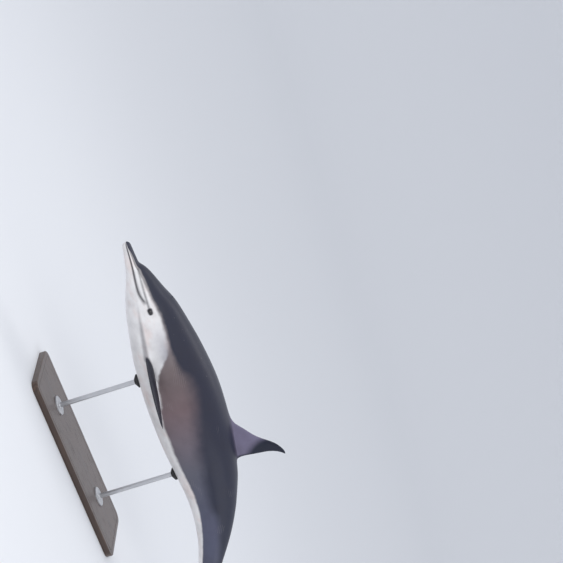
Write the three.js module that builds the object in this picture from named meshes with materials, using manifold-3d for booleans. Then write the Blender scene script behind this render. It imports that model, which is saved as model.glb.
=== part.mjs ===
// A short-beaked common dolphin surfacing with an arched back, as a still life-size model on a two-rod stand.
// Millimetres. +X is towards the beak, +Y the animal's left, +Z up; the floor is at zero under the middle.
import * as THREE from 'three';
import { mergeVertices } from 'three/addons/utils/BufferGeometryUtils.js';
import Module from 'manifold-3d';

const wasm = await Module();
wasm.setup();

// Whole animal
const LENGTH = 2100; // lower jaw tip to fluke notch, along the axis
const AXIS_HEIGHT = 640; // floor to the highest point of the body axis
const GAP = 0.3; // clear space between neighbouring nodes
const SIDES = 28; // points round a body section

// Body sections: place along the axis, then back height, belly depth and full width, all in hundredths of LENGTH.
const STATIONS = [
  [0, 0.45, 0.55, 1.1],
  [0.6, 0.8, 1.0, 1.8],
  [3, 1.1, 1.35, 2.5],
  [5.4, 1.4, 1.75, 3.3],
  [7, 2.6, 2.05, 4.6],
  [8.5, 3.4, 2.5, 5.8],
  [10, 4.0, 2.95, 7.1],
  [13, 5.1, 4.0, 9.2],
  [17, 6.6, 5.2, 10.9],
  [22, 7.5, 6.4, 12.5],
  [30, 8.5, 7.9, 14.5],
  [40, 9.1, 8.6, 15.0],
  [50, 8.8, 8.2, 13.8],
  [60, 7.5, 6.8, 10.9],
  [70, 5.6, 4.8, 7.3],
  [80, 3.7, 3.1, 4.4],
  [90, 2.1, 1.9, 2.5],
  [95, 1.15, 1.1, 1.9],
  [100, 0.1, 0.1, 0.5],
];
// Slope of the axis going tailward, in degrees: above nought it climbs, below nought it drops.
const PITCH = [
  [0, -5],
  [10, -4],
  [20, 0],
  [30, 0],
  [40, -3],
  [50, -4],
  [60, -8],
  [70, -16],
  [85, -27],
  [100, -20],
];
// How far the sections pinch towards a keel above and below: 1 is an ellipse.
const KEEL = [
  [0, 1],
  [55, 1],
  [75, 1.25],
  [88, 1.4],
  [100, 1],
];

// Where the body is divided, in hundredths of LENGTH.
const BEAK_END = 5.8;
const HEAD_END = 20;
const CHEST_END = 40;
const TRUNK_END = 62;
const STOCK_END = 98.3;
const UPPER_TIP = 0.45; // the upper beak is this much shorter than the lower jaw

// Mouth: height of its line over the axis, and where the jaw ends under the throat.
const MOUTH_LINE = [
  [-2, 0],
  [5, 0],
  [9, -0.15],
  [11.5, 0.1],
  [13.3, 0.75],
];
const JAW_HEEL = 15.2;

const EYE = { at: 15.8, up: 1.25, radius: 14, sunk: 10.5 }; // sunk: skin to eyeball centre

// Dorsal fin, in millimetres from the front of its foot: height, leading edge, trailing edge, thickness.
const FIN_FRONT = 47.2;
const FIN_REAR = 58.4;
const DORSAL_FIN = [
  [-34, -2, 247, 40],
  [0, 0, 247, 35],
  [8, 27, 240, 29],
  [22, 52, 234, 24],
  [55, 82, 229, 19],
  [95, 120, 227, 15.5],
  [135, 148, 224, 12],
  [172, 168, 224, 9],
  [204, 190, 231, 6.5],
  [224, 212, 240, 4.8],
  [234, 227, 246, 3.8],
  [238, 238, 248, 3],
];

// Flipper, in millimetres out from the body: distance out, leading edge, trailing edge, thickness.
const FLIPPER_ROOT = { at: 27.4, up: -2.8, inset: 14 };
const FLIPPER_ARM = new THREE.Vector3(0, 0.97, -0.24); // the way it reaches out; its edges sweep tailward
const FLIPPER = [
  [-30, -46, 58, 26],
  [12, -45, 62, 25],
  [30, -33, 98, 22],
  [52, -2, 143, 18.5],
  [74, 38, 180, 15.5],
  [94, 82, 212, 12.5],
  [111, 126, 237, 9.5],
  [124, 166, 254, 7],
  [133, 200, 266, 5],
  [139, 228, 274, 4],
  [142, 246, 278, 3],
];

// Flukes: distance out from the middle in millimetres, edges in hundredths of LENGTH, thickness and droop.
const FLUKES = [
  [0, 92.4, 98.9, 24, 0],
  [14, 92.5, 99.3, 23, 0],
  [30, 92.75, 99.75, 21, 0],
  [55, 93.3, 99.75, 18, 1],
  [90, 94.3, 99.4, 14.5, 3],
  [130, 95.7, 99.1, 11, 6],
  [170, 97.1, 99.2, 8, 10],
  [204, 98.5, 99.75, 5.5, 14],
  [225, 99.6, 100.25, 3.8, 17],
  [232, 100.2, 100.45, 2.8, 18],
];
const FLUKE_STRIP = 14; // half width of the middle strip, which belongs to the tail stock

// Stand
const BASE = { length: 1000, width: 400, height: 30, corner: 45, edge: 4, middle: 46 };
const ROD_RADIUS = 12;
const ROD_PLACES = { front: 33, rear: 59 };
const FLANGE = { radius: 48, height: 12, edge: 3 };
const SADDLE = { radius: 34, below: 20, above: 26, neck: 17 };

const PAINT = { body: 0x8b8684, pale: 0xcfcac2, dark: 0x3d3c40, eye: 0x17120f, stand: 0x2f3133 };
const FAR = 5000; // past the end of the model in any direction

// ---------------------------------------------------------------- numbers along the body

// A smooth curve through a table's first column and one other, with no overshoot between its rows.
function curve(rows, column) {
  const at = rows.map((row) => row[0]);
  const value = rows.map((row) => row[column]);
  const last = at.length - 1;
  const slope = [];
  for (let i = 0; i < last; i += 1) {
    slope.push((value[i + 1] - value[i]) / (at[i + 1] - at[i]));
  }
  const tangent = [slope[0]];
  for (let i = 1; i < last; i += 1) {
    const level = slope[i - 1] * slope[i] <= 0;
    const before = at[i] - at[i - 1];
    const after = at[i + 1] - at[i];
    const near = 2 * after + before;
    const far = after + 2 * before;
    tangent.push(level ? 0 : (near + far) / (near / slope[i - 1] + far / slope[i]));
  }
  tangent.push(slope[last - 1]);
  return (x) => {
    const inside = Math.min(Math.max(x, at[0]), at[last]);
    let i = 0;
    while (i < last - 1 && inside > at[i + 1]) {
      i += 1;
    }
    const step = at[i + 1] - at[i];
    const t = (inside - at[i]) / step;
    const bend = t * t * (3 - 2 * t);
    const leave = t * (1 - t) * (1 - t) * tangent[i] * step;
    const arrive = t * t * (t - 1) * tangent[i + 1] * step;
    return value[i] + (value[i + 1] - value[i]) * bend + leave + arrive;
  };
}

const UNIT = LENGTH / 100;
const backAt = curve(STATIONS, 1);
const bellyAt = curve(STATIONS, 2);
const widthAt = curve(STATIONS, 3);
const pitchAt = curve(PITCH, 1);
const keelAt = curve(KEEL, 1);
const mouthAt = curve(MOUTH_LINE, 1);

// The body axis, walked from the beak to the notch in short steps.
const STEPS_PER_UNIT = 10;
const AXIS = [new THREE.Vector3()];
for (let i = 1; i <= 101 * STEPS_PER_UNIT; i += 1) {
  const slope = THREE.MathUtils.degToRad(pitchAt((i - 0.5) / STEPS_PER_UNIT));
  const stride = UNIT / STEPS_PER_UNIT;
  const next = AXIS[i - 1].clone();
  next.x -= stride * Math.cos(slope);
  next.z += stride * Math.sin(slope);
  AXIS.push(next);
}
const LIFT = AXIS_HEIGHT - Math.max(...AXIS.map((point) => point.z));

// A point of the body: place along it, then millimetres up from the axis and out to the left.
function place(at, up, side) {
  const walked = Math.max(at, 0) * STEPS_PER_UNIT;
  const i = Math.min(Math.floor(walked), AXIS.length - 2);
  const slope = THREE.MathUtils.degToRad(pitchAt(at));
  const point = AXIS[i].clone().lerp(AXIS[i + 1], walked - i);
  const ahead = Math.min(at, 0) * UNIT;
  point.x += up * Math.sin(slope) - ahead * Math.cos(slope);
  point.z += up * Math.cos(slope) + ahead * Math.sin(slope) + LIFT;
  point.y = side;
  return point;
}

// ---------------------------------------------------------------- solids

// A solid from corner points and triangles, turned so that its faces look outward.
function solidFrom(positions, triangles) {
  const corner = (i) => new THREE.Vector3().fromArray(positions, 3 * triangles[i]);
  let volume = 0;
  for (let i = 0; i < triangles.length; i += 3) {
    volume += corner(i).dot(corner(i + 1).cross(corner(i + 2)));
  }
  return new wasm.Manifold(
    new wasm.Mesh({
      numProp: 3,
      vertProperties: new Float32Array(positions),
      triVerts: new Uint32Array(volume > 0 ? triangles : Array.from(triangles).reverse()),
    }),
  );
}

// Skins a closed solid over rings of equal count, with a flat fan on each end.
function loft(rings) {
  const count = rings[0].length;
  const points = rings.flat();
  const fan = points.length;
  const middle = (ring) => ring.reduce((sum, p) => sum.add(p), new THREE.Vector3()).divideScalar(count);
  points.push(middle(rings[0]), middle(rings[rings.length - 1]));
  const triangles = [];
  for (let j = 0; j < count; j += 1) {
    const k = (j + 1) % count;
    for (let i = 0; i < rings.length - 1; i += 1) {
      const here = i * count;
      const next = here + count;
      triangles.push(here + j, here + k, next + k, here + j, next + k, next + j);
    }
    const end = fan - count;
    triangles.push(fan, k, j, fan + 1, end + j, end + k);
  }
  return solidFrom(
    points.flatMap((p) => p.toArray()),
    triangles,
  );
}

// Brings a three.js geometry over for joining and cutting.
function solid(geometry) {
  geometry.deleteAttribute('normal');
  geometry.deleteAttribute('uv');
  const merged = mergeVertices(geometry, 1e-4);
  return solidFrom(merged.attributes.position.array, merged.index.array);
}

function steps(from, to, count) {
  return Array.from({ length: count + 1 }, (_, i) => from + ((to - from) * i) / count);
}

// One body section: an egg of back height, belly depth and width, pinched by the keel.
function bodyRing(at, grow) {
  const back = backAt(at) * UNIT + grow;
  const belly = bellyAt(at) * UNIT + grow;
  const half = (widthAt(at) * UNIT) / 2 + grow;
  return steps(0, 2 * Math.PI, SIDES)
    .slice(0, SIDES)
    .map((turn) => {
      const up = Math.cos(turn);
      const side = Math.sin(turn);
      const out = Math.sign(side) * Math.abs(side) ** keelAt(at);
      return place(at, up * (up > 0 ? back : belly), out * half);
    });
}

function bodyLength(places, grow = 0) {
  return loft(places.map((at) => bodyRing(at, grow)));
}

// Half thickness of a fin section along its chord, as a share of the full thickness.
function foil(c) {
  return 5 * (0.2969 * Math.sqrt(c) - 0.126 * c - 0.3516 * c * c + 0.2843 * c ** 3 - 0.1015 * c ** 4);
}

// One fin section: rounded in front and thin, never sharp, behind.
function finRing(lead, trail, thickness, across) {
  const chord = [1, 0.84, 0.62, 0.4, 0.2, 0.07, 0.015];
  const walk = [...chord, 0, ...chord.slice().reverse()];
  return walk.map((c, i) => {
    const face = Math.sign(walk.length / 2 - 0.5 - i);
    const half = Math.max(thickness * foil(c), c > 0 ? 0.7 : 0);
    return lead.clone().lerp(trail, c).addScaledVector(across, face * half);
  });
}

// Everything between two places along X and two across, taller and longer than the model where left open.
function slab({ x = [-FAR, FAR], y = [-FAR, FAR] }) {
  const box = new THREE.BoxGeometry(x[1] - x[0], y[1] - y[0], 2 * FAR);
  box.translate((x[0] + x[1]) / 2, (y[0] + y[1]) / 2, 0);
  return solid(box);
}

// A turned piece standing on its own axis, from a closed profile of radius and height pairs.
function turned(profile, x, z, segments) {
  const outline = profile.map(([radius, height]) => new THREE.Vector2(radius, height));
  const shape = new THREE.LatheGeometry([...outline, outline[0].clone()], segments);
  shape.rotateX(Math.PI / 2);
  shape.translate(x, 0, z);
  return solid(shape);
}

// ---------------------------------------------------------------- the animal

const pieces = {};
const margin = GAP / 2 / UNIT; // half a gap, in hundredths of LENGTH

// Head, with the jaws divided along the mouth line and the eyes let in.
const frontPlaces = [0, 0.25, 0.6, 1.5, 3, 4.4, 5.3];
const facePlaces = [6.3, 7, 7.9, 8.8, 10, 11.5, 13, 15, 17, 18.5];
const front = bodyLength([...frontPlaces, BEAK_END, ...facePlaces, HEAD_END - margin]);

// Everything under the mouth line, from ahead of the tip to the jaw's heel, grown or shrunk by some millimetres.
function underMouth(grow) {
  const along = [-2, 0, 2, 4, 6, 8, 9.5, 11, 12.3, 13.3];
  const line = along.map((at) => place(at, mouthAt(at) * UNIT + grow, 0));
  const heel = place(JAW_HEEL, -9 * UNIT, 0);
  heel.x -= grow;
  line[line.length - 1].x -= grow;
  const outline = [...line, heel, place(-2, -9 * UNIT, 0)];
  const shape = new THREE.Shape(outline.map((p) => new THREE.Vector2(p.x, p.z)));
  const sheet = new THREE.ExtrudeGeometry(shape, { depth: 2 * FAR, bevelEnabled: false, steps: 1 });
  sheet.translate(0, 0, -FAR);
  sheet.rotateX(Math.PI / 2);
  return solid(sheet);
}
const beakEnd = place(BEAK_END, 0, 0).x;
const upperTip = place(UPPER_TIP, 0, 0).x;
const overMouth = front.subtract(underMouth(GAP / 2));
pieces.upper_beak = overMouth.intersect(slab({ x: [beakEnd + GAP / 2, upperTip] }));
pieces.lower_jaw = front.intersect(underMouth(-GAP / 2));

const eyeUp = EYE.up * UNIT;
const eyeLevel = Math.sqrt(1 - (eyeUp / (backAt(EYE.at) * UNIT)) ** 2);
const eyeSide = ((widthAt(EYE.at) * UNIT) / 2) * eyeLevel - EYE.sunk;
function ball(side, radius) {
  const sphere = new THREE.SphereGeometry(radius, 16, 10);
  const centre = place(EYE.at, eyeUp, side * eyeSide);
  sphere.rotateX(Math.PI / 2);
  sphere.translate(centre.x, centre.y, centre.z);
  return solid(sphere);
}
pieces.head = overMouth
  .intersect(slab({ x: [-FAR, beakEnd - GAP / 2] }))
  .subtract(ball(1, EYE.radius + GAP))
  .subtract(ball(-1, EYE.radius + GAP));
pieces.eye_left = ball(1, EYE.radius);
pieces.eye_right = ball(-1, EYE.radius);

// Chest, trunk and tail stock.
const chestPlaces = steps(HEAD_END + margin, CHEST_END - margin, 9);
const trunkPlaces = steps(CHEST_END + margin, TRUNK_END - margin, 10);
const stockPlaces = steps(TRUNK_END + margin, STOCK_END, 16);
pieces.chest = bodyLength(chestPlaces);
pieces.trunk = bodyLength(trunkPlaces);

// Dorsal fin, standing on the line between its front and rear feet.
const finFront = place(FIN_FRONT, backAt(FIN_FRONT) * UNIT, 0);
const finRear = place(FIN_REAR, backAt(FIN_REAR) * UNIT, 0);
const finAlong = finRear.clone().sub(finFront).normalize();
const finUp = new THREE.Vector3(-finAlong.z, 0, finAlong.x).multiplyScalar(-1);
const finPoint = (along, up) => finFront.clone().addScaledVector(finAlong, along).addScaledVector(finUp, up);
const finRings = DORSAL_FIN.map(([up, lead, trail, thick]) =>
  finRing(finPoint(lead, up), finPoint(trail, up), thick, new THREE.Vector3(0, 1, 0)),
);
pieces.dorsal_fin = loft(finRings).subtract(bodyLength(trunkPlaces, GAP));

// Flippers, one drawn on the left and turned over for the right.
function flipper(side) {
  const span = FLIPPER_ARM.clone().normalize();
  const tailward = new THREE.Vector3(-1, 0, 0);
  const chord = tailward.addScaledVector(span, -tailward.dot(span)).normalize();
  const across = span.clone().cross(chord);
  const { at, up, inset } = FLIPPER_ROOT;
  const level = Math.sqrt(1 - (up / bellyAt(at)) ** 2);
  const root = place(at, up * UNIT, ((widthAt(at) * UNIT) / 2) * level - inset);
  const rings = FLIPPER.map(([out, lead, trail, thick]) => {
    const middle = root.clone().addScaledVector(span, out);
    const from = middle.clone().addScaledVector(chord, lead);
    const to = middle.clone().addScaledVector(chord, trail);
    return finRing(from, to, thick, across).map((p) => p.setY(p.y * side));
  });
  return loft(rings).subtract(bodyLength(chestPlaces, GAP));
}
pieces.flipper_left = flipper(1);
pieces.flipper_right = flipper(-1);

// Flukes: one wing from tip to tip, its middle strip kept with the tail stock.
const wing = loft(
  [...FLUKES.slice(1).reverse().map((row) => [-1, ...row]), ...FLUKES.map((row) => [1, ...row])].map(
    ([side, out, lead, trail, thick, droop]) => {
      const slope = THREE.MathUtils.degToRad(pitchAt(97));
      const across = new THREE.Vector3(Math.sin(slope), 0, Math.cos(slope));
      return finRing(place(lead, -droop, side * out), place(trail, -droop, side * out), thick, across);
    },
  ),
);
const grownStock = bodyLength(stockPlaces, GAP);
pieces.tail_stock = bodyLength(stockPlaces).add(wing.intersect(slab({ y: [-FLUKE_STRIP, FLUKE_STRIP] })));
pieces.fluke_left = wing.intersect(slab({ y: [FLUKE_STRIP + GAP, FAR] })).subtract(grownStock);
pieces.fluke_right = wing.intersect(slab({ y: [-FAR, -FLUKE_STRIP - GAP] })).subtract(grownStock);

// ---------------------------------------------------------------- the stand

const baseX = place(BASE.middle, 0, 0).x;
function basePlate() {
  const x = BASE.length / 2 - BASE.edge;
  const y = BASE.width / 2 - BASE.edge;
  const r = BASE.corner - BASE.edge;
  const outline = new THREE.Shape();
  outline.moveTo(r - x, -y);
  outline.lineTo(x - r, -y);
  outline.absarc(x - r, r - y, r, -Math.PI / 2, 0, false);
  outline.absarc(x - r, y - r, r, 0, Math.PI / 2, false);
  outline.absarc(r - x, y - r, r, Math.PI / 2, Math.PI, false);
  outline.absarc(r - x, r - y, r, Math.PI, 1.5 * Math.PI, false);
  const plate = new THREE.ExtrudeGeometry(outline, {
    depth: BASE.height - 2 * BASE.edge,
    bevelEnabled: true,
    bevelSize: BASE.edge,
    bevelThickness: BASE.edge,
    bevelSegments: 1,
    curveSegments: 7,
    steps: 1,
  });
  plate.translate(baseX, 0, BASE.edge);
  return solid(plate);
}
pieces.stand_base = basePlate();

for (const [name, at] of Object.entries(ROD_PLACES)) {
  const under = place(at, -bellyAt(at) * UNIT, 0);
  const top = under.z - SADDLE.below;
  const floor = BASE.height + GAP;
  const { radius, height, edge } = FLANGE;
  const bore = ROD_RADIUS + GAP;
  const ringProfile = [[bore, 0], [radius, 0], [radius, height - edge], [radius - edge, height], [bore, height]];
  const rodProfile = [[0, 0], [ROD_RADIUS, 0], [ROD_RADIUS, top - GAP - floor], [0, top - GAP - floor]];
  pieces[`stand_flange_${name}`] = turned(ringProfile, under.x, floor, 28);
  pieces[`stand_rod_${name}`] = turned(rodProfile, under.x, floor, 28);
  const rise = SADDLE.below + SADDLE.above;
  const saddleProfile = [[0, 0], [SADDLE.neck, 0], [SADDLE.radius, 12], [SADDLE.radius, rise], [0, rise]];
  const belly = bodyLength(at < CHEST_END ? chestPlaces : trunkPlaces, GAP);
  pieces[`stand_saddle_${name}`] = turned(saddleProfile, under.x, top, 28).subtract(belly);
}

// ---------------------------------------------------------------- the group

function colourOf(name) {
  const paints = [
    [/^stand_/, PAINT.stand],
    [/^eye_/, PAINT.eye],
    [/fin$|^flipper_|^fluke_/, PAINT.dark],
    [/^lower_jaw$/, PAINT.pale],
  ];
  const match = paints.find(([pattern]) => pattern.test(name));
  return match ? match[1] : PAINT.body;
}
const group = new THREE.Group();
for (const [name, shape] of Object.entries(pieces)) {
  const mesh = shape.getMesh();
  const geometry = new THREE.BufferGeometry();
  geometry.setAttribute('position', new THREE.BufferAttribute(Float32Array.from(mesh.vertProperties), 3));
  geometry.setIndex(new THREE.BufferAttribute(Uint32Array.from(mesh.triVerts), 1));
  geometry.computeVertexNormals();
  const material = new THREE.MeshStandardMaterial({ color: colourOf(name), roughness: 0.45 });
  const node = new THREE.Mesh(geometry, material);
  node.name = name;
  group.add(node);
}

// The frame: the floor under the middle of the whole model's length.
const bounds = new THREE.Box3().setFromObject(group);
const shift = -(bounds.min.x + bounds.max.x) / 2;
for (const node of group.children) {
  node.geometry.translate(shift, 0, 0);
}

export default group;
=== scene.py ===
# %% [markdown]
# # A common dolphin on its stand
# A life-size short-beaked common dolphin rolls at the surface: head just lifting, back arched, flippers
# folded back, tail stock dipping away. This lesson dresses a packed set of solids. The solids fix every
# place and size; Blender adds one seamless skin, the eyes, the paint of the coat, and a neat stand. First
# the frame is loaded and its box is kept.

# %% Load the frame
import math
import bmesh
import bpy
from mathutils import Matrix, Vector


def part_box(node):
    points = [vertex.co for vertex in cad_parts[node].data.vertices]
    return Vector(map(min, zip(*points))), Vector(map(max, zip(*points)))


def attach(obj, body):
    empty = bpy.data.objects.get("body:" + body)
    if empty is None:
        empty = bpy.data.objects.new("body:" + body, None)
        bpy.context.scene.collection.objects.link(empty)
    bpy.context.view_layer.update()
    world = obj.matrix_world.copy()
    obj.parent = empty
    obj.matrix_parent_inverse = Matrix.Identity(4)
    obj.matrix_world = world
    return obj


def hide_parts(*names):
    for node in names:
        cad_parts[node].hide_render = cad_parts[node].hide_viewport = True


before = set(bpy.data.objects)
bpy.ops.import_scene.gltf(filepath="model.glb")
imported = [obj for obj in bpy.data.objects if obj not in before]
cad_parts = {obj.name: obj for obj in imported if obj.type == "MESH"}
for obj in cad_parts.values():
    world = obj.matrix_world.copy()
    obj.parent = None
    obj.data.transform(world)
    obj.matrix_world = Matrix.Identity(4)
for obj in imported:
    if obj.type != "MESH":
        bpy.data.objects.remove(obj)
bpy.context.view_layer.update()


def short_numbers(point, places=3):
    """A point as short numbers, for the notes that the cells print."""
    return [round(v, places) for v in point]


# %% [markdown]
# ## One set of numbers for the whole body
# A dolphin's body is a smooth spindle, so a short table of sections says it all: how high the back is
# over the body axis, how deep the belly hangs below it, and how wide the body is, in hundredths of the
# animal's length. A second table bends the axis. They are the solids' own numbers, so the skin lands on
# the solids.

# %% Sections along the body, in hundredths of the length
LENGTH = 2.10
UNIT = LENGTH / 100
AXIS_HEIGHT = 0.64  # the axis at its highest, in metres over the floor
SECTIONS = [  # place, back height, belly depth, width
    (0, 0.45, 0.55, 1.1), (0.6, 0.8, 1.0, 1.8), (3, 1.1, 1.35, 2.5), (5.4, 1.4, 1.75, 3.3),
    (7, 2.6, 2.05, 4.6), (8.5, 3.4, 2.5, 5.8), (10, 4.0, 2.95, 7.1), (13, 5.1, 4.0, 9.2),
    (17, 6.6, 5.2, 10.9), (22, 7.5, 6.4, 12.5), (30, 8.5, 7.9, 14.5), (40, 9.1, 8.6, 15.0),
    (50, 8.8, 8.2, 13.8), (60, 7.5, 6.8, 10.9), (70, 5.6, 4.8, 7.3), (80, 3.7, 3.1, 4.4),
    (90, 2.1, 1.9, 2.5), (95, 1.15, 1.1, 1.9), (100, 0.1, 0.1, 0.5),
]
# How steeply the axis climbs tailward, in degrees, and how flat-sided the section is (1 is an ellipse)
PITCH = [(0, -5), (10, -4), (20, 0), (30, 0), (40, -3), (50, -4), (60, -8), (70, -16), (85, -27), (100, -20)]
KEEL = [(0, 1), (55, 1), (75, 1.25), (88, 1.4), (100, 1)]
FULLEST = 40


# %% A smooth curve through a table
def curve(rows, column=1):
    """A function through the table's first column and one other, with no overshoot between rows."""
    at = [row[0] for row in rows]
    value = [row[column] for row in rows]
    slope = [(value[i + 1] - value[i]) / (at[i + 1] - at[i]) for i in range(len(at) - 1)]
    tangent = [slope[0]]
    for i in range(1, len(at) - 1):
        before, after = at[i] - at[i - 1], at[i + 1] - at[i]
        near, far = 2 * after + before, after + 2 * before
        level = slope[i - 1] * slope[i] <= 0
        tangent.append(0 if level else (near + far) / (near / slope[i - 1] + far / slope[i]))
    tangent.append(slope[-1])

    def read(x):
        x = min(max(x, at[0]), at[-1])
        i = max(k for k in range(len(at) - 1) if x >= at[k])
        step = at[i + 1] - at[i]
        t = (x - at[i]) / step
        rise = (value[i + 1] - value[i]) * t * t * (3 - 2 * t)
        leave = t * (1 - t) ** 2 * tangent[i] * step
        arrive = t * t * (t - 1) * tangent[i + 1] * step
        return value[i] + rise + leave + arrive

    return read


back_at, belly_at, width_at = (curve(SECTIONS, column) for column in (1, 2, 3))
pitch_at, keel_at = curve(PITCH), curve(KEEL)
print("chest", round((back_at(FULLEST) + belly_at(FULLEST)) * UNIT, 3), "m deep")

# %% [markdown]
# ## The body axis
# The axis is walked tailward in short steps, each sloped by the pitch table. Then it is set down in the
# frame: its front end by the tip of the lower jaw, which the solids give, and its highest point by the
# solids' own number for the height of the axis.

# %% Walk the axis
STEPS = 10  # to a hundredth of the length
AXIS_END = 101  # a little past the notch of the flukes
axis = [Vector((0, 0, 0))]
for i in range(1, AXIS_END * STEPS + 1):
    slope = math.radians(pitch_at((i - 0.5) / STEPS))
    axis.append(axis[-1] + Vector((-math.cos(slope), 0, math.sin(slope))) * UNIT / STEPS)
jaw_reach = belly_at(0) * UNIT * math.sin(math.radians(-pitch_at(0)))
axis_start = Vector((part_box("lower_jaw")[1].x - jaw_reach, 0, AXIS_HEIGHT - max(p.z for p in axis)))


def place(at, up=0.0, side=0.0):
    """A point of the body: place along it, then metres up from the axis and out to the left."""
    walked = min(max(at, 0), AXIS_END) * STEPS
    i = min(int(walked), len(axis) - 2)
    slope = math.radians(pitch_at(at))
    ahead = Vector((math.cos(slope), 0, -math.sin(slope))) * max(-at, 0) * UNIT
    lift = Vector((up * math.sin(slope), side, up * math.cos(slope)))
    return axis_start + axis[i].lerp(axis[i + 1], walked - i) + ahead + lift


print("front end", short_numbers(place(0)), "rear end", short_numbers(place(100)))


# %% A point on the skin, by its angle round the section
tip_share = curve([(-0.03, 0.3), (0.08, 0.72), (0.4, 1)])  # rounds off the end of the beak


def on_skin(at, angle, hand=1, sink=0.0):
    """Angle 0 is the back's midline and 180 the belly's; sink is metres below the skin."""
    turn = math.radians(angle)
    up, out = math.cos(turn), math.sin(turn) ** keel_at(at)
    tall = (back_at(at) if up > 0 else belly_at(at)) * UNIT * tip_share(at) - sink
    wide = width_at(at) * UNIT / 2 * tip_share(at) - sink
    return place(at, up * tall, hand * out * wide)


STEP_BACK, STEP_DOWN = 0.2, 1


def outward(at, angle, hand):
    """The way that the skin faces there."""
    here = on_skin(at, angle, hand)
    tailward = on_skin(at + STEP_BACK, angle, hand) - here
    downward = on_skin(at, angle + STEP_DOWN, hand) - here
    return downward.cross(tailward).normalized() * hand


print("left side of the chest", short_numbers(on_skin(FULLEST, 90)))

# %% [markdown]
# ## The cage
# Subdivision surfaces are how smooth animals are made: a coarse cage of quads is shaped, and the modifier
# rounds it. Here a flat grid is wrapped round the left half of the body, one row of quads per ring, then
# mirrored and welded. Rings are closer where the form changes fast, at the melon, the eye, the flipper
# and the fin roots, and columns are closer along the mouth line and the fin roots, so that each fin can
# grow out of the body.

# %% Rings and columns of the cage
DORSAL_RINGS = (47.4, 58.2)
FLIPPER_RINGS = (25.2, 29.6)
FLUKE_RINGS = (92.6, 98.8)
EYE_RINGS = (14.7, 15.8, 16.9)
SLIT_RINGS = ((63.4, 68.2), (70.2, 72.6))
RINGS = [  # places along the body
    -0.03, 0.08, 0.4, 1.2, 2.6, 4.2, 5.2, 5.9, 6.7, 8.0, 9.8, 11.6, 13.2, 13.9, *EYE_RINGS, 18.6, 21.6,
    25.2, 26.7, 28.1, 29.6, 33, 37.6, 42.6, 47.4, 50.1, 52.8, 55.5, 58.2, 60.6, 63.4, 68.2, 70.2, 72.6,
    76.5, 81, 86, 90.2, 92.6, 94.4, 96.2, 97.7, 98.8,
]
COLUMNS = [0, 9, 28, 50, 70, 85, 90, 95, 108, 121, 145, 180]  # degrees down from the back's midline
UPPER_LIP, MOUTH, LOWER_LIP, BELLY = 5, 6, 7, 11
print(len(RINGS), "rings,", len(COLUMNS), "columns")

# %% The mouth line
lip_spread_at = curve([  # degrees from the mouth line to either lip
    (0, 8), (7, 5), (13.2, 2.4), (14.7, 3.8), (25, 7), (60, 9), (88, 12), (92.6, 16), (98.8, 16),
])
mouth_rise_at = curve([  # hundredths of the length above the axis
    (0, 0), (5, 0), (9, -0.15), (11.6, 0.1), (13.2, 0.7), (13.9, 0.72), (14.7, 0.5), (16.9, 0),
])
mouth_depth_at = curve([  # millimetres under the skin
    (0, 0.6), (0.4, 1.8), (2.6, 3.5), (7, 5), (11.6, 5), (13.2, 3.5), (13.9, 0.5), (14.7, 0),
])
print("mouth line up to", round(max(mouth_rise_at(at) for at in RINGS), 2), "hundredths above the axis")


# %% The angle of one column at one ring
def column_angle(at, column):
    """The lips follow the mouth line, and the columns beside them half as much."""
    lift = math.degrees(math.asin(mouth_rise_at(at) / back_at(at)))
    if UPPER_LIP <= column <= LOWER_LIP:
        return 90 - lift + (column - MOUTH) * lip_spread_at(at)
    if column in (UPPER_LIP - 1, LOWER_LIP + 1):
        return COLUMNS[column] - lift / 2
    return COLUMNS[column]


# %% Wrap a flat grid round the left half, mirror it and weld it
MILLI = 0.001
WELD = 1e-5
HALF_TURN = 180


def height_share(angle):
    """How high a point is round the section: 0 at the belly's midline and 1 at the back's."""
    return (1 + math.cos(math.radians(angle))) / 2


cage = bmesh.new()
bmesh.ops.create_grid(cage, x_segments=len(RINGS) - 1, y_segments=len(COLUMNS) - 1, size=1)
ring_of = cage.verts.layers.int.new("ring")
column_of = cage.verts.layers.int.new("column")
marks = ("along", "height", "lip", "chord", "face_side", "detail", "dorsal", "flipper", "fluke")
mark = {name: cage.verts.layers.float.new(name) for name in marks}
cage.verts.ensure_lookup_table()
for vert in cage.verts:
    column, ring = divmod(vert.index, len(RINGS))
    at, angle = RINGS[ring], column_angle(RINGS[ring], column)
    vert.co = on_skin(at, angle, 1, mouth_depth_at(at) * MILLI if column == MOUTH else 0)
    if column in (0, BELLY):
        vert.co.y = 0
    vert[ring_of], vert[column_of] = ring, column
    vert[mark["along"]] = at / 100
    vert[mark["height"]] = height_share(angle)
    vert[mark["lip"]] = min(max((MOUTH - column) / 2, -1), 1)
half = cage.verts[:] + cage.edges[:] + cage.faces[:]
bmesh.ops.mirror(cage, geom=half, matrix=Matrix.Identity(4), merge_dist=WELD, axis="Y")
for end in (0, len(RINGS) - 1):
    rim = [edge for edge in cage.edges if edge.is_boundary and edge.verts[0][ring_of] == end]
    bmesh.ops.contextual_create(cage, geom=rim)
bmesh.ops.recalc_face_normals(cage, faces=cage.faces)
print("cage", len(cage.verts), "corners,", len(cage.faces), "faces")

# %% [markdown]
# ## Fins out of the body
# Each fin is pulled out of the body's own faces by extruding them row by row, so there is no join to
# hide. Every row is a wing section: rounded in front, thickest a third of the way back, thin behind. The
# rows' sizes are the solids' numbers again, in millimetres, and a least thickness keeps the rims from
# coming to nothing.


# %% A wing section, and the faces that a fin starts from
def foil(c):
    """Half the thickness at share c of the chord, for a section one unit thick."""
    return 5 * (0.2969 * math.sqrt(c) - 0.126 * c - 0.3516 * c**2 + 0.2843 * c**3 - 0.1015 * c**4)


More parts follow.
